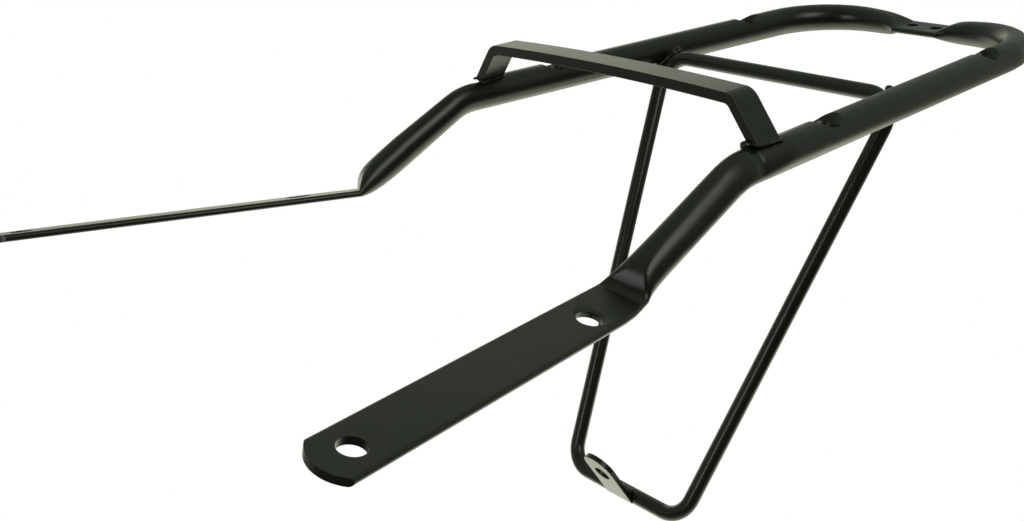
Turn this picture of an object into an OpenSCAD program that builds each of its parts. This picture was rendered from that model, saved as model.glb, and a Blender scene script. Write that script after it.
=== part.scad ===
// Luggage rack for a moped: one bent and flattened steel tube, a flat steel bridge,
// a bent rod hoop below and a small plate that bolts to the mudguard.
// Millimetres. X is across the rack, +Y points to its back end, +Z is up.
// The origin is midway between the two holes of the flattened rear plate, in its mid-plane.

/* [Tube] */
// Outer diameter of the round tube
tube_d = 20; // [19:0.5:23]
// Wall thickness of the tube
tube_wall = 2; // [1.5:0.1:2.6]

/* [Platform] */
// Distance between the axes of the two side rails, at the hoop
rail_spacing = 209; // [190:1:240]
// Angle by which each side rail runs inwards towards the back
toe_in = 4.2; // [0:0.1:6]
// Distance from the hoop back to the axis of the rear stretch
hoop_to_rear = 170.5; // [150:0.5:200]
// Distance from the hoop forwards to where the side rails start to drop
hoop_to_drop = 171.5; // [165:0.5:200]
// Share by which the top of the tube is still pressed down where the rear corners begin
rear_press = 0.35; // [0:0.05:0.6]
// Radius of the tube's axis in the two rear corners
rear_bend_r = 56; // [45:1:60]
// Radius of the tube's axis where the side rails start to drop
drop_bend_r = 42; // [30:1:48]

/* [Rear plate] */
// Length of the flattened plate in the rear stretch
plate_len = 35; // [32:0.5:40]
// Distance of the plate's mid-plane below the axis of the round tube
plate_drop = 2.9; // [0:0.1:6]
// Distance between the two holes of the plate
plate_hole_spacing = 19.4; // [16:0.1:22]
// Diameter of the two holes of the plate
plate_hole_d = 8.5; // [6:0.1:10]

/* [Front legs] */
// Downward angle of the sloping stretch in front of the side rails
leg_drop = 25.5; // [15:0.5:35]
// Outward angle of the sloping stretch
leg_splay = 0.8; // [0:0.1:4]
// Length of the sloping stretch, from the bend to the crease
leg_len = 90.4; // [85:0.1:120]
// Distance of the strap's mid-plane below the tube's axis at the crease
crease_drop = 3.2; // [0:0.1:6]
// Angle between the crease line and a square cut across the strap
crease_skew = 15; // [8:0.5:20]
// Length over which the inner side of the tube opens behind the crease
leg_open = 38; // [30:1:48]
// Length over which the outer side of the tube is pressed down to the strap, before the crease
shoulder_len = 25; // [15:1:35]
// Distance by which the strap's outer edge is drawn in at the crease
shoulder_in = 4; // [0:0.1:7]
// Share by which the upper outer side of the sloping stretch is pressed in
slope_press = 0.2; // [0:0.01:0.4]
// Share by which the upper outer side of the tube is pressed in at the drop bend
bend_press = 0.4; // [0:0.01:0.5]
// Direction of that press, outwards from straight up
press_lean = 58; // [20:1:70]
// Length over which that press fades out behind the drop bend
press_fade = 6; // [4:0.5:10]

/* [Straps] */
// Length of each flat strap, from the crease to its tip
strap_len = 218.4; // [200:0.1:260]
// Outward angle of the strap
strap_splay = 14.5; // [8:0.5:20]
// Upward angle of the strap towards its tip
strap_rise = 4.4; // [0:0.1:10]
// Angle by which the strap is twisted, with its outer edge down
strap_roll = 14.4; // [8:0.1:20]
// Radius of the tip beyond half of the strap's width
tip_bulge = 3.4; // [0.2:0.1:6]
// Distance of the tip's round end outwards from the middle of the strap
tip_out = 1.5; // [0:0.1:3]
// Diameter of the mounting holes in the straps
strap_hole_d = 12.9; // [8:0.1:14]
// Distance from the crease to the first hole of the strap
near_hole_at = 38.6; // [25:0.1:60]
// Distance from the strap's tip to its last hole
tip_hole_back = 18.9; // [14:0.1:30]
// Distance of the last hole outwards from the middle of the strap
tip_hole_out = 0.6; // [0:0.1:3]
// Distance of the first hole outwards from the middle of the strap
near_hole_out = 2; // [0:0.1:4]
// Diameter of the dish round the first hole of the strap
dish_d = 16.5; // [14:0.1:18]
// Depth of that dish
dish_depth = 1; // [0.5:0.1:1.5]

/* [Rail holes] */
// Diameter of the holes in the top of the side rails
rail_hole_d = 13; // [6:0.1:13.5]
// Diameter of the dimple round each of these holes
dimple_d = 22; // [17:0.1:24]
// Depth of the dimple at the edge of its hole
dimple_depth = 6.5; // [2:0.1:7]
// Distance from the hoop forwards to the front pair of holes
front_holes_at = 92.5; // [70:0.5:100]
// Distance from the hoop back to the rear pair of holes
rear_holes_at = 87.5; // [70:0.5:100]

/* [Bridge] */
// Width of the flat bar
bar_w = 18; // [15:0.5:25]
// Thickness of the flat bar
bar_t = 6; // [4:0.5:8]
// Distance from the hoop forwards to the middle of the flat bar
bridge_at = 147.2; // [140:0.1:152]
// Height of the bridge's top above the axis of the side rails
bridge_h = 37; // [30:0.1:60]
// Angle of the bridge's top at its corners, from the horizontal
crown_angle = 2.4; // [0.5:0.1:6]
// Angle of the bridge's feet below the horizontal
foot_angle = 53.5; // [45:0.5:65]
// Distance by which the middle of a foot passes the axis of its rail, on the outside
foot_offset = 5; // [2:0.1:6]
// Radius inside the bridge's corners
bridge_bend_r = 5; // [3:0.5:8]

/* [Hoop] */
// Diameter of the hoop's rod
rod_d = 10; // [8:0.5:12]
// Distance of the crossbar's axis below the axis of the side rails
crossbar_drop = 1.7; // [0:0.1:3]
// Distance between the lower corners of the hoop, measured where its straight axes meet
hoop_foot_w = 101; // [80:1:130]
// Height of the hoop, from the axis of its crossbar to the axis of its lower bar
hoop_h = 252.8; // [200:0.5:300]
// Distance of the lower bar in front of the crossbar
hoop_rake = 146.7; // [100:0.5:170]
// Radius of the rod's axis in the upper corners
hoop_top_r = 18; // [11:0.5:22]
// Radius of the rod's axis in the lower corners
hoop_foot_r = 18; // [12:0.5:25]

/* [Mudguard tab] */
// Width of the tab
tab_w = 23.5; // [20:0.5:34]
// Length of the tab from the axis of the lower bar to its round end
tab_len = 46.5; // [44:0.5:60]
// Thickness of the tab
tab_t = 3.4; // [2.5:0.1:4]
// Angle of the tab above the horizontal, leaning forwards
tab_angle = 59; // [50:0.5:80]
// Distance of the tab's front face in front of the axis of the lower bar
tab_face_at = 5.7; // [5:0.1:7]
// Diameter of the hole in the tab
tab_hole_d = 11.5; // [8:0.1:14]
// Distance from the tab's round end to the middle of its hole
tab_hole_back = 17.5; // [14:0.5:28]

/* [Welds] */
// Width of the weld beads round the bridge's feet
foot_bead = 2.8; // [2:0.1:5]
// Width of the weld beads between the hoop and the rails
hoop_bead = 3; // [2:0.1:4]
// Width of the weld beads between the tab and the lower bar
tab_bead = 3; // [2:0.1:4]

/* [Hidden] */
$fn = 64;

// Axes and small sizes: stretches run into each other by lap, where a bend is slimmer by seam
// all round and an opening stretch by skin, so that no two faces of one piece coincide
ex = [1, 0, 0];
ey = [0, 1, 0];
ez = [0, 0, 1];
lap = 0.1;
seam = 0.01;
skin = 0.03;
sides = 32;
rings = 13;
clear = 60;
bead_sides = 18;
bead_turn = 180 / bead_sides;
hoop_weld_span = [15, 65];
tab_bead_share = 0.8;

// Flattened tube: two walls thick, with the same length round its outline
flat_t = 2 * tube_wall;
strap_w = flat_run(flat_t) + flat_t;

// Side rails, seen as lines at the height of the round tube's axis
rail_z = plate_drop;
hoop_y = -hoop_to_rear;
rail_fwd = [sin(toe_in), -cos(toe_in), 0];
rail_x = [cos(toe_in), sin(toe_in), 0];
rear_corner = rail_at(0);
drop_corner = rail_at(hoop_y - hoop_to_drop);

// Rear stretch: what is left between the corner bends opens from flat to round
rear_tangent = rear_bend_r * tan((90 - toe_in) / 2);
plate_open = rear_corner.x - rear_tangent - plate_len / 2;

// Sloping stretch and the crease at its lower end
slope = [sin(leg_splay) * cos(leg_drop), -cos(leg_splay) * cos(leg_drop), -sin(leg_drop)];
crease_edge = strap_w / 2 - shoulder_in;
inner_pace = 4.7;
outer_pace = 9;
rear_pace = 4.5;
top_pace = 2;
corner_steps = 8;

// Drop bend: from its centre, drop_out points up to where the rail ends
drop_turn = acos(rail_fwd * slope);
drop_out = -unit(square_to(slope, rail_fwd));
drop_tangent = tangent(rail_fwd, slope, drop_bend_r);
drop_centre = drop_corner - rail_fwd * drop_tangent - drop_out * drop_bend_r;
leg_end = drop_corner - rail_fwd * (drop_tangent + press_fade);
bend_steps = 6;
crease_axis = drop_corner + slope * leg_len;
crease_mid = crease_axis - ez * crease_drop;

// Strap: its length, width and thickness directions
strap_dir = [sin(strap_splay) * cos(strap_rise), -cos(strap_splay) * cos(strap_rise), sin(strap_rise)];
strap_flat_x = [cos(strap_splay), sin(strap_splay), 0];
strap_flat_z = cross(strap_flat_x, -strap_dir);
strap_x = strap_flat_x * cos(strap_roll) - strap_flat_z * sin(strap_roll);
strap_z = cross(strap_x, -strap_dir);

// Crease line, and the plane through it that halves the angle of the fold
crease = strap_x * cos(crease_skew) - strap_dir * sin(crease_skew);
fold_normal = unit(unit(square_to(-strap_dir, crease)) + unit(square_to(-slope, crease)));
open_x = unit(square_to(crease, slope));
open_z = cross(open_x, -slope);

// Bridge: the top arc, the corners and the feet, in the plane across the rack
bridge_y = hoop_y - bridge_at;
foot_dir = [cos(foot_angle), 0, -sin(foot_angle)];
foot_seat = [rail_at(bridge_y).x + foot_offset / sin(foot_angle), bridge_y, rail_z];
foot_end = foot_seat - foot_dir * (foot_offset / tan(foot_angle));
crown_top = rail_z + bridge_h - bar_t / 2;
corner_r = bridge_bend_r + bar_t / 2;
corner_tangent = corner_r * tan((foot_angle - crown_angle) / 2);
corner_dir = [cos(crown_angle), 0, -sin(crown_angle)];
crown_end_x = (foot_seat.x - (crown_top - rail_z) / tan(foot_angle)
  + corner_tangent * (sin(crown_angle) / tan(foot_angle) - cos(crown_angle)))
  / (1 - tan(crown_angle / 2) / tan(foot_angle));
crown_r = crown_end_x / sin(crown_angle);
crown_end = [crown_end_x, bridge_y, crown_top - crown_end_x * tan(crown_angle / 2)];
bridge_corner = crown_end + corner_dir * corner_tangent;

// Hoop: its upper corners tuck in beside the rails
hoop_z = rail_z - crossbar_drop;
hoop_tuck = 1.2;
hoop_rail = rail_at(hoop_y);
hoop_foot = [hoop_foot_w / 2, hoop_y - hoop_rake, hoop_z - hoop_h];
hoop_corner = [hoop_rail.x - tube_d / 2 + hoop_tuck, hoop_y, hoop_z];
hoop_leg = unit(hoop_foot - hoop_corner);

// Tab on the lower bar
tab_dir = [0, -cos(tab_angle), sin(tab_angle)];
tab_back = [0, sin(tab_angle), cos(tab_angle)];
bar_mid = [0, hoop_foot.y, hoop_foot.z];

function unit(v) = v / norm(v);
// The share of v that is square to the unit vector a
function square_to(v, a) = v - (v * a) * a;
// Point on the axis of the right side rail at a given y
function rail_at(y) = [rail_spacing / 2 + (hoop_y - y) * tan(toe_in), y, rail_z];
// Length of the flat sides of a tube that is pressed to height h
function flat_run(h) = PI * (tube_d - h) / 2;
// Puts a child's own x and z axes along two directions that are square to each other
module place(at, x, z) {
  y = cross(z, x);
  translate(at)
    rotate([atan2(y.z, z.z), -asin(x.z), atan2(x.y, x.x)])
      children();
}

// Straight stretch of a flat outline, whose own x points along x_dir
module run(from, to, x_dir) {
  place(from - unit(to - from) * lap, x_dir, unit(to - from))
    linear_extrude(norm(to - from) + 2 * lap)
      children();
}

// Bend of a flat outline at the corner where two straight stretches meet
module bend(corner, from_dir, to_dir, r) {
  turn = acos(from_dir * to_dir);
  inwards = unit(square_to(to_dir, from_dir));
  centre = corner - from_dir * r * tan(turn / 2) + inwards * r;
  place(centre, -inwards, cross(-inwards, from_dir))
    rotate_extrude(angle = turn)
      translate([r, 0])
        children();
}

// Distance from a corner to the start of its bend
function tangent(from_dir, to_dir, r) = r * tan(acos(from_dir * to_dir) / 2);

// Outline of a tube pressed to height h, with round edges
module pressed(h) {
  square([flat_run(h), h], center = true);
  for (side = [-1, 1])
    translate([side * flat_run(h) / 2, 0])
      circle(d = h);
}

// Closed skin through a list of rings with equally many points
module loft(stations) {
  count = len(stations);
  n = len(stations[0]);
  points = [for (ring = stations) each ring];
  walls = [
    for (k = [0 : count - 2], i = [0 : n - 1])
      let (a = k * n + i, b = k * n + (i + 1) % n)
      each [[a, b, b + n], [a, b + n, a + n]]
  ];
  first_cap = [for (i = [n - 1 : -1 : 0]) i];
  last_cap = [for (i = [0 : n - 1]) (count - 1) * n + i];
  polyhedron(points, concat([first_cap, last_cap], walls), convexity = 4);
}

// Rear stretch: it opens from the flat plate, sooner below than on top, and turns into the rail
module rear_half(inset) {
  open_rings = [
    for (k = [inset > 0 ? 1 : 0 : rings])
      let (u = k / rings, open = opened(u, rear_pace))
      [for (i = [0 : sides - 1])
        let (p = rear_outline(i, open, (1 - rear_press) * opened(u, top_pace), inset + (k > 0 ? 0 : skin)))
        [plate_len / 2 + plate_open * u - (k > 0 ? 0 : lap), -p.x, rail_z * open + p.y]]
  ];
  corner_rings = [
    for (k = [1 : corner_steps])
      let (
        turn = (90 - toe_in) * k / corner_steps,
        dir = [cos(turn), -sin(turn), 0],
        inwards = [-sin(turn), -cos(turn), 0],
        at = rear_corner - [rear_tangent, rear_bend_r, 0] - inwards * rear_bend_r,
        risen = 1 - rear_press * pow(1 - k / corner_steps, 3),
        last = k == corner_steps
      )
      [for (i = [0 : sides - 1])
        let (p = rear_outline(i, 1, risen, inset + (last ? skin : 0)))
        at + dir * (last ? lap : 0) + inwards * p.x + ez * p.y]
  ];
  loft(concat(open_rings, corner_rings));
}

// Outline point i of the rear stretch, open by a share and risen by another share on top
function rear_outline(i, open, risen, inset) =
  let (
    a = (i + 0.5) * 360 / sides,
    h = flat_t + (tube_d - flat_t) * open,
    top = (flat_t + (tube_d - flat_t) * risen) / 2
  )
  [
    sign(cos(a)) * flat_run(h) / 2 + (h / 2 - inset) * cos(a),
    ((sin(a) > 0 ? top : h / 2) - inset) * sin(a)
  ];

// Leg: the flat strap, the crease, the sloping stretch and the drop bend, up to the round rail
module leg(inset) {
  strap_rings = inset > 0 ? [] : [
    for (back = [strap_len + lap, shoulder_len, shoulder_len * 0.6, shoulder_len * 0.3])
      let (draw = pow(max(0, 1 - back / shoulder_len), 2))
      [for (i = [0 : sides - 1])
        crease_mid + strap_dir * back + on_strap(leg_outline(i, 0, 0, draw, 0))]
  ];
  slope_rings = [
    for (k = [inset > 0 ? 1 : 0 : rings])
      let (
        u = k / rings,
        open = opened(u, inner_pace),
        mid = crease_axis - slope * (leg_open * u) - ez * crease_drop * (1 - open)
      )
      [for (i = [0 : sides - 1])
        let (p = leg_outline(i, open, opened(u, outer_pace), 1, inset))
        k == 0 ? strap_point(p)
          : mid + pressed_in(slanted(p, pow(1 - u, 3)), slope, slope_press * open, inset)]
  ];
  bend_rings = [
    for (k = [0 : bend_steps + 1])
      let (
        turn = drop_turn * max(0, 1 - k / bend_steps),
        dir = rail_fwd * cos(turn) - drop_out * sin(turn),
        at = k > bend_steps ? leg_end - rail_fwd * lap
          : drop_centre + drop_out * (drop_bend_r * cos(turn)) + rail_fwd * (drop_bend_r * sin(turn)),
        x = unit(square_to(open_x, dir))
      )
      [for (i = [0 : sides - 1])
        let (p = leg_outline(i, 1, 1, 1, k > bend_steps ? inset + skin : inset))
        at + pressed_in(x * p.x + cross(x, -dir) * p.y, dir, k > bend_steps ? 0 : bend_press, inset)]
  ];
  loft(concat(strap_rings, slope_rings, bend_rings));
}

// Share of the way from flat to round
function opened(u, pace) = (1 - exp(-pace * u)) / (1 - exp(-pace));

// Outline point i of the leg, open by a share on the inner side and below, and out by a share
// on top of the outer side, whose edge is drawn in by a share before the crease
function leg_outline(i, open, out, draw, inset) =
  let (
    a = (i + 0.5) * 360 / sides,
    h = flat_t + (tube_d - flat_t) * open,
    top = (flat_t + (tube_d - flat_t) * out) / 2,
    edge = strap_w / 2 - shoulder_in * draw + (tube_d / 2 - crease_edge) * out,
    cap = (top + h / 2) / 2
  )
  cos(a) < 0
    ? [-flat_run(h) / 2 + (h / 2 - inset) * cos(a), (h / 2 - inset) * sin(a)]
    : [edge - cap + (cap - inset) * cos(a), ((sin(a) > 0 ? top : h / 2) - inset) * sin(a)];

// Outline point on the strap
function on_strap(p) = strap_x * p.x + strap_z * p.y;

// Point of a round section, with its upper outer side pressed in by a share
function pressed_in(q, dir, share, inset) =
  let (
    lean = unit(square_to(ez, dir)) * cos(press_lean) + unit(square_to(ex, dir)) * sin(press_lean),
    r = tube_d / 2
  )
  q - lean * (share * r / (r - inset) * max(0, q * lean));

// Outline point of the strap where it meets the crease's plane
function strap_point(p) =
  let (q = on_strap(p))
  crease_mid + q - strap_dir * ((q * fold_normal) / (strap_dir * fold_normal));

// Outline point square to the sloping stretch, slid along it towards the crease's plane
function slanted(p, share) =
  let (q = open_x * p.x + open_z * p.y)
  q - slope * (share * (q * fold_normal) / (slope * fold_normal));

// What is cut from the strap: all beyond its round tip, and its holes
module strap_cut() {
  tip_r = strap_w / 2 + tip_bulge;
  place(crease_mid, strap_x, strap_dir)
    translate([0, 2 * flat_t, strap_len - tip_r])
      rotate([90, 0, 0]) {
        difference() {
          translate([-strap_w, 0])
            cube([2 * strap_w, 2 * strap_w, 4 * flat_t]);
          translate([tip_out, 0])
            cylinder(r = tip_r, h = 4 * flat_t);
        }
        translate([tip_hole_out, tip_r - tip_hole_back])
          cylinder(d = strap_hole_d, h = 4 * flat_t);
        translate([near_hole_out, near_hole_at - strap_len + tip_r]) {
          cylinder(d = strap_hole_d, h = 4 * flat_t);
          translate([0, 0, 2 * flat_t - flat_t / 2 - lap])
            cylinder(d1 = dish_d + 2 * lap, d2 = strap_hole_d, h = dish_depth + lap);
        }
      }
}

// Straight round rail, inset by the wall for the bore
module rail(inset) {
  run(rear_corner + rail_fwd * rear_tangent, leg_end, rail_x) circle(tube_d / 2 - inset);
}

// Metal that the dimple in the top of a rail pushes down into the tube
module dimple_metal(y) {
  top = tube_d / 2;
  intersection() {
    run(rail_at(y + dimple_d), rail_at(y - dimple_d), rail_x) circle(d = tube_d - tube_wall);
    translate(rail_at(y))
      rotate_extrude()
        polygon([
          [0, top - dimple_depth - tube_wall],
          [rail_hole_d / 2 + tube_wall / 2, top - dimple_depth - tube_wall],
          [dimple_d / 2 + tube_wall / 2, top - tube_wall],
          [dimple_d / 2 + tube_wall / 2, top],
          [0, top]
        ]);
  }
}

// Dimple and its hole
module dimple_cut(y) {
  top = tube_d / 2;
  translate(rail_at(y)) {
    rotate_extrude()
      polygon([
        [0, top - dimple_depth],
        [rail_hole_d / 2, top - dimple_depth],
        [dimple_d / 2, top],
        [dimple_d / 2, top + tube_wall],
        [0, top + tube_wall]
      ]);
    cylinder(d = rail_hole_d, h = tube_d);
  }
}

module tube_half() {
  difference() {
    union() {
      rail(0);
      rear_half(0);
      leg(0);
    }
    rail(tube_wall);
    rear_half(tube_wall);
    leg(tube_wall);
    strap_cut();
  }
}

module main_tube() {
  hole_rows = [hoop_y - front_holes_at, hoop_y + rear_holes_at];
  color("#24261f")
    difference() {
      union() {
        for (half = [0, 1])
          mirror([half, 0, 0]) {
            tube_half();
            for (y = hole_rows)
              dimple_metal(y);
          }
        run([-plate_len / 2, 0, 0], [plate_len / 2, 0, 0], ey) pressed(flat_t);
      }
      for (half = [0, 1])
        mirror([half, 0, 0]) {
          for (y = hole_rows)
            dimple_cut(y);
          translate([plate_hole_spacing / 2, 0, -flat_t])
            cylinder(d = plate_hole_d, h = 2 * flat_t);
        }
    }
}

// Full-size cutter that seats other pieces on a rail
module rail_cutter(y) {
  run(rail_at(y + clear), rail_at(y - clear), rail_x) circle(d = tube_d);
}

// Section of the flat bar, slimmer all round by trim
module bar_section(trim = 0) {
  square([bar_t - 2 * trim, bar_w - 2 * trim], center = true);
}

module bridge_half() {
  bend(bridge_corner, corner_dir, foot_dir, corner_r) bar_section(seam);
  difference() {
    run(bridge_corner + foot_dir * corner_tangent, foot_end, cross(ey, foot_dir))
      bar_section();
    rail_cutter(bridge_y);
  }
}

module bridge_bar() {
  half_angle = crown_angle + atan(lap / crown_r);
  color("#2b2d26") {
    translate([0, bridge_y, crown_top - crown_r])
      rotate([90, 0, 0])
        rotate([0, 0, 90 - half_angle])
          rotate_extrude(angle = 2 * half_angle, $fn = 3600)
            translate([crown_r, 0])
              bar_section();
    for (half = [0, 1])
      mirror([half, 0, 0])
        bridge_half();
  }
}

// Section of the rod, slimmer all round by trim
module rod(trim = 0) {
  circle(rod_d / 2 - trim);
}

module hoop_half() {
  top_t = tangent(ex, hoop_leg, hoop_top_r);
  foot_t = tangent(hoop_leg, -ex, hoop_foot_r);
  bend(hoop_corner, ex, hoop_leg, hoop_top_r) rod(seam);
  run(hoop_corner + hoop_leg * top_t, hoop_foot - hoop_leg * foot_t, unit(square_to(ex, hoop_leg)))
    rod();
  bend(hoop_foot, hoop_leg, -ex, hoop_foot_r) rod(seam);
}

// Straight bar of the hoop across the rack
module hoop_bar(corner, cut) {
  end = corner.x - cut;
  run([-end, corner.y, corner.z], [end, corner.y, corner.z], ey) rod();
}

module support_hoop() {
  color("#20221c")
    difference() {
      union() {
        hoop_bar(hoop_corner, tangent(ex, hoop_leg, hoop_top_r));
        hoop_bar(hoop_foot, tangent(hoop_leg, -ex, hoop_foot_r));
        for (half = [0, 1])
          mirror([half, 0, 0])
            hoop_half();
      }
      for (half = [0, 1])
        mirror([half, 0, 0])
          rail_cutter(hoop_y);
    }
}

module fender_tab() {
  end_at = tab_len - tab_w / 2;
  color("#3a3c34")
    difference() {
      place(bar_mid, -ex, tab_back)
        translate([0, 0, -tab_face_at])
          difference() {
            linear_extrude(tab_t)
              union() {
                translate([-tab_w / 2, 0])
                  square([tab_w, end_at]);
                translate([0, end_at])
                  circle(d = tab_w);
              }
            translate([0, tab_len - tab_hole_back, -tab_t])
              cylinder(d = tab_hole_d, h = 3 * tab_t);
          }
      run([-hoop_foot_w, hoop_foot.y, hoop_foot.z], [hoop_foot_w, hoop_foot.y, hoop_foot.z], ey)
        rod();
    }
}

// Point on the rail's skin under a corner of the bridge's foot: across is +1 on the outer face
// and -1 on the inner one, along is +1 at the back edge and -1 at the front edge
function foot_point(across, along) =
  let (
    y = along * bar_w / 2,
    e = across * bar_t / 2,
    reach = foot_offset + e + y * tan(toe_in) * sin(foot_angle)
  )
  foot_end + ey * y + [sin(foot_angle), 0, cos(foot_angle)] * e
    - foot_dir * sqrt(pow(tube_d / 2, 2) - pow(reach, 2));

// Fillet of weld metal round the bridge's right foot
module bridge_weld() {
  color("#2b2d26")
    difference() {
      hull()
        for (across = [-1, 1], along = [-1, 1])
          place(foot_point(across, along), cross(ey, foot_dir), foot_dir)
            rotate(bead_turn)
              sphere(r = foot_bead / 2, $fn = bead_sides);
      rail_cutter(bridge_y);
      run(bridge_corner + foot_dir * corner_tangent, foot_end + foot_dir * tube_d, cross(ey, foot_dir))
        bar_section();
    }
}

// Fillet of weld metal between the hoop's right upper corner and the rail
module hoop_weld() {
  inwards = unit(square_to(hoop_leg, ex));
  centre = hoop_corner - ex * tangent(ex, hoop_leg, hoop_top_r) + inwards * hoop_top_r;
  color("#20221c")
    difference() {
      hull()
        for (turn = hoop_weld_span) {
          on_rod = centre + (ex * sin(turn) - inwards * cos(turn)) * (hoop_top_r + rod_d / 2);
          axis = rail_at(on_rod.y);
          to_rod = unit([on_rod.x - axis.x, 0, on_rod.z - axis.z]);
          translate((on_rod + axis + to_rod * tube_d / 2) / 2)
            sphere(r = hoop_bead, $fn = bead_sides);
        }
      rail_cutter(hoop_y);
      hoop_bar(hoop_corner, tangent(ex, hoop_leg, hoop_top_r));
      hoop_half();
    }
}

// Fillet of weld metal along the back of the tab, on top of the lower bar
module tab_weld() {
  back_at = tab_face_at - tab_t;
  reach = (rod_d + tab_bead) / 2;
  bead_mid = bar_mid - tab_back * (back_at - tab_bead / 2)
    + tab_dir * sqrt(pow(reach, 2) - pow(back_at - tab_bead / 2, 2));
  half_run = tab_w / 2 - tab_bead;
  color("#2b2d26")
    difference() {
      hull()
        for (x = [-half_run, half_run])
          translate(bead_mid + ex * x)
            sphere(r = tab_bead * tab_bead_share, $fn = bead_sides);
      hoop_bar(hoop_foot, tangent(hoop_leg, -ex, hoop_foot_r));
      place(bar_mid, -ex, tab_back)
        translate([-tab_w, -rod_d, -tab_face_at - tab_t])
          cube([2 * tab_w, tab_len, 2 * tab_t]);
    }
}

main_tube();
bridge_bar();
support_hoop();
fender_tab();
bridge_weld();  // bridge_weld_right
mirror(ex) bridge_weld();  // bridge_weld_left
hoop_weld();  // hoop_weld_right
mirror(ex) hoop_weld();  // hoop_weld_left
tab_weld();
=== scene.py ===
import math

import bpy
from mathutils import Matrix, Vector


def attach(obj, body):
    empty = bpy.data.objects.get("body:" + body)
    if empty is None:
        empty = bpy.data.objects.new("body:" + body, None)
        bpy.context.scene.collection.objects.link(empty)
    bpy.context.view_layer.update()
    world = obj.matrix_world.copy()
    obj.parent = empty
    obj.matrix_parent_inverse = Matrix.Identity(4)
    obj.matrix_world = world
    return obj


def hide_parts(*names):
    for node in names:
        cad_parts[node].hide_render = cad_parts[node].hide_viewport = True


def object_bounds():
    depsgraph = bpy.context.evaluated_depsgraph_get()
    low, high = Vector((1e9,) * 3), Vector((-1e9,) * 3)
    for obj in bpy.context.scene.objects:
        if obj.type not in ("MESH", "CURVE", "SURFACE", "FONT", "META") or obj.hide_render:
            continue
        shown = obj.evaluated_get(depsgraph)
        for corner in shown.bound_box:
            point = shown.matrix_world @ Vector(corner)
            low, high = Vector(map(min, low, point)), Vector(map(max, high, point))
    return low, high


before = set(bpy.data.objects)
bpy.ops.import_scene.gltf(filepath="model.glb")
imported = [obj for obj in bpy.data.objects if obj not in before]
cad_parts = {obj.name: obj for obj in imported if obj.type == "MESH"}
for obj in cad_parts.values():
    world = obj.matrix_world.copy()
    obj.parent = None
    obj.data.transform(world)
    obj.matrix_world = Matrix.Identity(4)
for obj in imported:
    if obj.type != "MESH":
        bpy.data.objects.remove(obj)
cad_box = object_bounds()

# Camera, in metres and degrees: where it stands, which way it looks and its lens
CAMERA_AT = (0.530892, -0.822984, 0.213974)
CAMERA_AZIMUTH = 51.888
CAMERA_ELEVATION = 22.260
CAMERA_ROLL = -3.959
LENS_MM = 44.92
SHIFT_X = 0.00825
SHIFT_Y = 0.00618

# Floor: how far it lies below the hanging rack and how wide it is, in metres
FLOOR_GAP = 0.32
FLOOR_SIZE = 12

# Side rails and the bends at their front ends, in metres and degrees
RAIL_HALF_GAP = 0.1045
RAIL_RADIUS = 0.010
RAIL_HEIGHT = 0.0029
TOE_IN = 4.2
HOOP_TO_REAR = 0.1705
DROP_AHEAD = 0.1715
DROP_RADIUS = 0.042
LEG_DROP = 25.5
LEG_SPLAY = 0.8

# The press on the bend: how much of the height it takes off, which way it leans off the vertical, and
# the length over which it runs out behind the bend, where that begins and in how many steps it is cut
BEND_PRESS = 0.4
PRESS_LEAN = 58
RUN_OUT = 0.032
RUN_OUT_START = 0.001
RUN_OUT_CUTS = 8
CUT_SNAP = 0.00001

# The ring of vertices where leg and rail meet: how far behind the bend it lies and within which reach,
# how far it is moved back, and how it is smoothed
RAIL_SEAM = 0.00006
RAIL_JOINT = 0.0059
RAIL_JOINT_REACH = RAIL_SEAM * 3
RAIL_JOINT_RUN = 0.0015
RAIL_JOINT_SMOOTH = 0.5
RAIL_JOINT_REPEATS = 4

# Meshes, in metres and degrees: vertices this close are one, faces below the first angle are level with
# each other, edges above the second are rounded, edges above the third are shaded sharp, and a rounded
# edge has this many faces across
MERGE_DISTANCE = 0.00003
LEVEL_ANGLE = 0.1
ROUNDED_ANGLE = 40
SHARP_ANGLE = 35
ROUND_SEGMENTS = 3

# Weld beads: the grid of their skin in metres, the lumps' level that stays in place, how often they are
# smoothed, and how finely the drop's sphere is divided
BEAD_GRID = 0.0004
BEAD_LEVEL = 0.45
BEAD_SMOOTHING = 10
DROP_DETAIL = 3

# Powder coat, in metres: size of the dust's patches and of the dents, and the heights of dents and peel
DUST_SIZE = 0.045
DENT_SIZE = 0.022
DENT_HEIGHT, DENT_STRENGTH = 0.0005, 0.25
PEEL_HEIGHT, PEEL_STRENGTH = 0.00003, 0.06

# Colour sockets of a mix node: the two that go in and the one that comes out
MIX_FIRST, MIX_SECOND, MIX_RESULT = 6, 7, 2

# Studio, in degrees and metres: the side it is open to, how bright its floor is in reflections below the
# rack and further off and between which distances it passes from one to the other, how bright its walls
# are, the share of all this that is left on the open side, and where the floor and walls start and end
# to pass to that share
FRONT_AZIMUTH = 51.888
FLOOR_GLOW = 2.2
FAR_GLOW = 0.35
GLOW_START, GLOW_END = 0.35, 0.95
WALL_GLOW = 0.42
FRONT_SHARE = 0.15
FLOOR_FRONT_START, WALL_FRONT_START, FRONT_END = 0.0, -0.2, 0.7


def linear(hex_colour):
    """sRGB hex colour as linear RGBA."""
    parts = [int(hex_colour[i:i + 2], 16) / 255 for i in (1, 3, 5)]
    return [c / 12.92 if c <= 0.04045 else ((c + 0.055) / 1.055) ** 2.4 for c in parts] + [1]


def add_node(tree, kind, settings=(), links=()):
    """Adds a node to tree: settings go to its properties or sockets, links come from other sockets."""
    node = tree.nodes.new(kind)
    for name, value in dict(settings).items():
        if isinstance(name, str) and hasattr(node, name):
            setattr(node, name, value)
        else:
            node.inputs[name].default_value = value
    for name, source in dict(links).items():
        tree.links.new(source, node.inputs[name])
    return node


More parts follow.
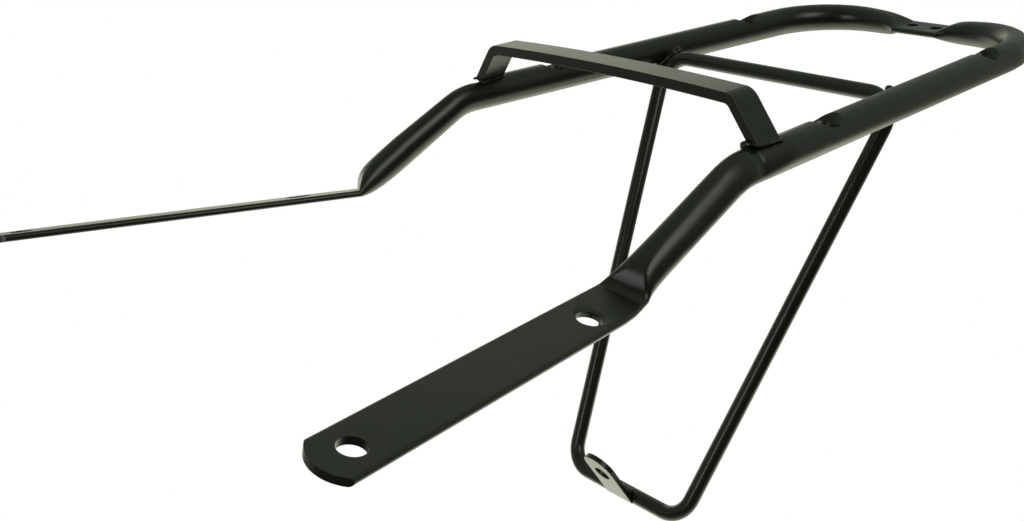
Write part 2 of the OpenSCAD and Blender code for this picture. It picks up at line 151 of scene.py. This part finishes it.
def new_material(name):
    """A material with an empty node tree."""
    material = bpy.data.materials.new(name)
    material.use_nodes = True
    tree = material.node_tree
    tree.nodes.clear()
    return material, tree


def powder_coat(name, colour, dust, roughness, peel_mm):
    """Black powder coat, baked on steel: satin, with a fine orange-peel skin, soft dents of the
    pressed metal below and a thin veil of dust that greys it here and there."""
    material, tree = new_material(name)
    at = add_node(tree, "ShaderNodeTexCoord").outputs["Object"]
    veil = add_node(tree, "ShaderNodeTexNoise", {"Scale": 1 / DUST_SIZE, "Detail": 4, "Roughness": 0.6},
                    {"Vector": at})
    veil_range = add_node(tree, "ShaderNodeMapRange", {"From Min": 0.35, "From Max": 0.75},
                          {"Value": veil.outputs["Fac"]})
    tint = add_node(tree, "ShaderNodeMix",
                    {"data_type": "RGBA", MIX_FIRST: linear(colour), MIX_SECOND: linear(dust)},
                    {0: veil_range.outputs["Result"]})
    sheen = add_node(tree, "ShaderNodeMapRange", {"To Min": roughness - 0.03, "To Max": roughness + 0.05},
                     {"Value": veil.outputs["Fac"]})
    dents = add_node(tree, "ShaderNodeTexNoise", {"Scale": 1 / DENT_SIZE, "Detail": 1}, {"Vector": at})
    peel = add_node(tree, "ShaderNodeTexNoise", {"Scale": 1000 / peel_mm, "Detail": 2}, {"Vector": at})
    soft_bump = add_node(tree, "ShaderNodeBump", {"Strength": DENT_STRENGTH, "Distance": DENT_HEIGHT},
                         {"Height": dents.outputs["Fac"]})
    fine_bump = add_node(tree, "ShaderNodeBump", {"Strength": PEEL_STRENGTH, "Distance": PEEL_HEIGHT},
                         {"Height": peel.outputs["Fac"], "Normal": soft_bump.outputs["Normal"]})
    shader = add_node(tree, "ShaderNodeBsdfPrincipled", {"IOR": 1.5, "Metallic": 0.0},
                      {"Base Color": tint.outputs[MIX_RESULT], "Roughness": sheen.outputs["Result"],
                       "Normal": fine_bump.outputs["Normal"]})
    add_node(tree, "ShaderNodeOutputMaterial", {}, {"Surface": shader.outputs["BSDF"]})
    return material


def ramp(tree, value, start, end, first, last):
    """Socket that passes smoothly from first to last while value passes from start to end."""
    node = add_node(tree, "ShaderNodeMapRange",
                    {"interpolation_type": "SMOOTHSTEP", "From Min": start, "From Max": end,
                     "To Min": first, "To Max": last}, {"Value": value})
    return node.outputs["Result"]


def towards_front(tree, vector):
    """Socket with the part of a vector that points level towards the studio's open side."""
    front = math.radians(FRONT_AZIMUTH)
    node = add_node(tree, "ShaderNodeVectorMath",
                    {"operation": "DOT_PRODUCT", 1: (math.sin(front), -math.cos(front), 0)}, {0: vector})
    return node.outputs["Value"]


def seen_white(tree, ray, white_kind, shader, output_kind):
    """Ends a tree with plain white for the camera and the shader for every other ray."""
    white = add_node(tree, white_kind, {"Color": (1, 1, 1, 1), "Strength": 1.0})
    seen = add_node(tree, "ShaderNodeMixShader", {},
                    {0: ray.outputs["Is Camera Ray"], 1: shader.outputs[0], 2: white.outputs[0]})
    add_node(tree, output_kind, {}, {"Surface": seen.outputs[0]})


def studio_paper(name, colour, mirrored):
    """Matt paper of the given colour, white to the camera and of the mirrored colour in reflections,
    where it is brightest below and behind the rack."""
    material, tree = new_material(name)
    ray = add_node(tree, "ShaderNodeLightPath")
    paper = add_node(tree, "ShaderNodeBsdfDiffuse", {"Color": linear(colour)})
    at = add_node(tree, "ShaderNodeTexCoord").outputs["Object"]
    away = add_node(tree, "ShaderNodeVectorMath", {"operation": "LENGTH"}, {0: at}).outputs["Value"]
    level = add_node(tree, "ShaderNodeMath", {"operation": "MULTIPLY"},
                     {0: ramp(tree, away, GLOW_START, GLOW_END, FLOOR_GLOW, FAR_GLOW),
                      1: ramp(tree, towards_front(tree, at), FLOOR_FRONT_START, FRONT_END,
                              1.0, FRONT_SHARE)})
    glow = add_node(tree, "ShaderNodeEmission", {"Color": linear(mirrored)},
                    {"Strength": level.outputs["Value"]})
    lit = add_node(tree, "ShaderNodeMixShader", {},
                   {0: ray.outputs["Is Glossy Ray"], 1: paper.outputs[0], 2: glow.outputs[0]})
    seen_white(tree, ray, "ShaderNodeEmission", lit, "ShaderNodeOutputMaterial")
    return material


def copied_node(node, name):
    """A piece of its own with the merged mesh of a CAD node, which it replaces."""
    bpy.ops.object.select_all(action="DESELECT")
    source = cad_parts[node]
    piece = bpy.data.objects.new(name, source.data.copy())
    bpy.context.collection.objects.link(piece)
    bpy.context.view_layer.objects.active = piece
    piece.select_set(True)
    bpy.ops.object.mode_set(mode="EDIT")
    bpy.ops.mesh.select_all(action="SELECT")
    bpy.ops.mesh.remove_doubles(threshold=MERGE_DISTANCE)
    bpy.ops.mesh.normals_make_consistent(inside=False)
    bpy.ops.object.mode_set(mode="OBJECT")
    return piece


def finished(piece, node):
    """The piece takes the node's place: it is coated and rides with the rack."""
    piece.data.materials.clear()
    piece.data.materials.append(coat)
    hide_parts(node)
    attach(piece, "root")


def edited(piece, kind, chosen, operation, **settings):
    """Runs a mesh operator on those faces or vertices of the piece, by kind, that chosen picks."""
    bpy.ops.object.mode_set(mode="EDIT")
    bpy.ops.mesh.select_mode(type=kind)
    bpy.ops.mesh.select_all(action="DESELECT")
    bpy.ops.object.mode_set(mode="OBJECT")
    for part in piece.data.polygons if kind == "FACE" else piece.data.vertices:
        part.select = chosen(part)
    bpy.ops.object.mode_set(mode="EDIT")
    operation(**settings)
    bpy.ops.object.mode_set(mode="OBJECT")


def eased_bends(piece):
    """The press on the upper outer side of each drop bend runs out gently along the rail behind it."""
    toe, splay, drop, tilt = (math.radians(a) for a in (TOE_IN, LEG_SPLAY, LEG_DROP, PRESS_LEAN))
    along = Vector((math.sin(toe), -math.cos(toe), 0))
    slope = Vector((math.sin(splay) * math.cos(drop), -math.cos(splay) * math.cos(drop), -math.sin(drop)))
    corner = Vector((RAIL_HALF_GAP + DROP_AHEAD * math.tan(toe), -HOOP_TO_REAR - DROP_AHEAD, RAIL_HEIGHT))
    bend_end = corner - along * (DROP_RADIUS * math.tan(along.angle(slope) / 2))
    lean = Vector((along.y * -math.sin(tilt), along.x * math.sin(tilt), math.cos(tilt)))

    def behind(vert, side):
        """How far a vertex lies behind the bend, and where it stands from the rail's axis."""
        from_end = Vector((vert.co.x * side, vert.co.y, vert.co.z)) - bend_end
        back = -from_end.dot(along)
        return back, from_end + along * back

    for side in (1, -1):
        flip = Vector((side, 1, 1))
        for vert in piece.data.vertices:
            back, across = behind(vert, side)
            outside = across.length > RAIL_RADIUS - RAIL_SEAM
            if vert.co.x * side > 0 and abs(back - RAIL_JOINT) < RAIL_JOINT_REACH and outside:
                vert.co -= along * flip * RAIL_JOINT_RUN
        for cut in range(1, RUN_OUT_CUTS + 1):
            at = bend_end - along * (RUN_OUT * cut / RUN_OUT_CUTS)
            edited(piece, "FACE", lambda face: face.center.x * side > 0, bpy.ops.mesh.bisect,
                   plane_co=at * flip, plane_no=along * flip, threshold=CUT_SNAP)
        for vert in piece.data.vertices:
            back, across = behind(vert, side)
            if vert.co.x * side > 0 and RUN_OUT_START < back < RUN_OUT:
                share = BEND_PRESS * (0.5 + 0.5 * math.cos(math.pi * back / RUN_OUT))
                vert.co -= lean * flip * (share * max(0, across.dot(lean)))
        edited(piece, "VERT", lambda vert: vert.co.x * side > 0 and
               abs(behind(vert, side)[0] - RAIL_JOINT - RAIL_JOINT_RUN / 2) < RAIL_JOINT_RUN,
               bpy.ops.mesh.vertices_smooth, factor=RAIL_JOINT_SMOOTH, repeat=RAIL_JOINT_REPEATS)


def softened(node, name, radius):
    """A copy of the node, shaded smooth. A radius above 0 rounds its sharp edges, as sheared and coated
    steel has them. The tube keeps its own edges and has its bends eased."""
    piece = copied_node(node, name)
    if node == "main_tube":
        eased_bends(piece)
    if radius > 0:
        bpy.ops.object.mode_set(mode="EDIT")
        bpy.ops.mesh.dissolve_limited(angle_limit=math.radians(LEVEL_ANGLE))
        bpy.ops.object.mode_set(mode="OBJECT")
        bevel = piece.modifiers.new("round_edges", "BEVEL")
        bevel.width = radius
        bevel.segments = ROUND_SEGMENTS
        bevel.limit_method = "ANGLE"
        bevel.angle_limit = math.radians(ROUNDED_ANGLE)
        bpy.ops.object.modifier_apply(modifier=bevel.name)
    bpy.ops.object.shade_smooth_by_angle(angle=math.radians(SHARP_ANGLE))
    level = piece.modifiers.new("level_faces", "WEIGHTED_NORMAL")
    level.keep_sharp = True
    bpy.ops.object.modifier_apply(modifier=level.name)
    finished(piece, node)


def weld_bead(node, name, lump_size, lump_height, drop):
    """The node's fillet as a hand-laid bead: lumps of weld metal that run into each other, and, with a
    drop above 0, a round drop of metal of that radius at its front inner corner, where the bead ended."""
    piece = copied_node(node, name)
    if drop > 0:
        corner = min((vert.co for vert in piece.data.vertices), key=lambda at: abs(at.x) + at.y)
        bpy.ops.mesh.primitive_ico_sphere_add(subdivisions=DROP_DETAIL, radius=drop)
        bead_end = bpy.context.object
        bead_end.data.transform(Matrix.Translation(corner))
        piece.select_set(True)
        bpy.context.view_layer.objects.active = piece
        bpy.ops.object.join()
    skin = piece.modifiers.new("skin", "REMESH")
    skin.mode = "VOXEL"
    skin.voxel_size = BEAD_GRID
    skin.use_smooth_shade = True
    bpy.ops.object.modifier_apply(modifier=skin.name)
    lumps = bpy.data.textures.new(name + "_lumps", "CLOUDS")
    lumps.noise_scale = lump_size
    swell = piece.modifiers.new("lumps", "DISPLACE")
    swell.texture = lumps
    swell.texture_coords = "GLOBAL"
    swell.strength = lump_height
    swell.mid_level = BEAD_LEVEL
    bpy.ops.object.modifier_apply(modifier=swell.name)
    calm = piece.modifiers.new("calm", "SMOOTH")
    calm.iterations = BEAD_SMOOTHING
    bpy.ops.object.modifier_apply(modifier=calm.name)
    bpy.ops.object.shade_smooth()
    finished(piece, node)


# One coat on every piece: satin black powder coat, baked on steel, with a peel of 1.6 mm
coat = powder_coat("black_powder_coat", "#10130e", "#191c16", 0.31, 1.6)
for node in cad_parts.values():
    node.data.materials.clear()
    node.data.materials.append(coat)

# Tube and flat pieces: CAD node, name, radius of the rounded edges in metres
PIECES = [
    ("main_tube", "rack_tube", 0),
    ("bridge_bar", "bridge_flat_bar", 0.0009),
    ("fender_tab", "mudguard_tab", 0.0005),
]
for piece_row in PIECES:
    softened(*piece_row)

# Weld beads: CAD node, name, width and height of the lumps and radius of the drop in metres
BEADS = [
    ("bridge_weld_right", "bridge_weld_bead_right", 0.004, 0.0012, 0.003),
    ("hoop_weld_right", "hoop_weld_bead_right", 0.006, 0.0024, 0),
    ("bridge_weld_left", "bridge_weld_bead_left", 0.004, 0.0012, 0),
    ("hoop_weld_left", "hoop_weld_bead_left", 0.006, 0.0024, 0),
    ("tab_weld", "tab_weld_bead", 0.003, 0.0016, 0),
]
for bead_row in BEADS:
    weld_bead(*bead_row)

# Floor
floor_z = cad_box[0][2] - FLOOR_GAP
bpy.ops.mesh.primitive_plane_add(size=FLOOR_SIZE, location=(0, 0, floor_z))
floor = bpy.context.object
floor.name = "studio_floor"
floor.data.materials.append(studio_paper("studio_paper", "#f2f2ef", "#f4f5dd"))

# World: soft light, dimmer on the studio's open side and seen white
world = bpy.data.worlds.new("studio_air")
world.use_nodes = True
bpy.context.scene.world = world
air = world.node_tree
air.nodes.clear()
direction = add_node(air, "ShaderNodeTexCoord").outputs["Generated"]
soft = add_node(air, "ShaderNodeBackground", {"Color": linear("#e2efda")},
                {"Strength": ramp(air, towards_front(air, direction), WALL_FRONT_START, FRONT_END,
                                  WALL_GLOW, WALL_GLOW * FRONT_SHARE)})
seen_white(air, add_node(air, "ShaderNodeLightPath"), "ShaderNodeBackground", soft,
           "ShaderNodeOutputWorld")

# Lamps: name, where it is, where it points, width, height, watts, colour
LAMPS = [
    ("left_wall", (-1.75, 0.95, 0.42), (0.0, -0.25, 0.0), 1.3, 0.7, 2.7, "#fff8e2"),
    ("right_softbox", (1.15, -0.25, 0.95), (0.0, -0.40, 0.0), 0.8, 0.8, 6.0, "#fbffef"),
    ("front_strip", (0.25, -1.75, 0.45), (0.0, -0.35, -0.1), 0.35, 0.9, 4.2, "#ffffff"),
    ("low_card", (-0.75, -0.15, -0.50), (0.0, -0.30, -0.2), 0.9, 0.9, 3.0, "#f4f6dc"),
]
for name, at, target, width, height, watts, colour in LAMPS:
    lamp = bpy.data.lights.new(name, "AREA")
    lamp.shape = "RECTANGLE"
    lamp.size = width
    lamp.size_y = height
    lamp.energy = watts
    lamp.color = linear(colour)[:3]
    holder = bpy.data.objects.new(name, lamp)
    bpy.context.collection.objects.link(holder)
    aim = Vector(target) - Vector(at)
    holder.location = at
    holder.rotation_euler = aim.to_track_quat("-Z", "Y").to_euler()
    holder.visible_camera = False

# Camera
az, el, roll = (math.radians(a) for a in (CAMERA_AZIMUTH, CAMERA_ELEVATION, CAMERA_ROLL))
right = Vector((math.cos(az), math.sin(az), 0))
up = Vector((-math.sin(el) * math.sin(az), math.sin(el) * math.cos(az), math.cos(el)))
back = Vector((math.sin(az) * math.cos(el), -math.cos(az) * math.cos(el), math.sin(el)))
rolled_right = right * math.cos(roll) + up * math.sin(roll)
rolled_up = up * math.cos(roll) - right * math.sin(roll)
lens = bpy.data.cameras.new("camera")
lens.lens = LENS_MM
lens.shift_x = SHIFT_X
lens.shift_y = SHIFT_Y
camera = bpy.data.objects.new("camera", lens)
bpy.context.collection.objects.link(camera)
camera.matrix_world = Matrix((rolled_right, rolled_up, back)).transposed().to_4x4()
camera.location = CAMERA_AT
bpy.context.scene.camera = camera
bpy.context.scene.view_settings.view_transform = "Standard"
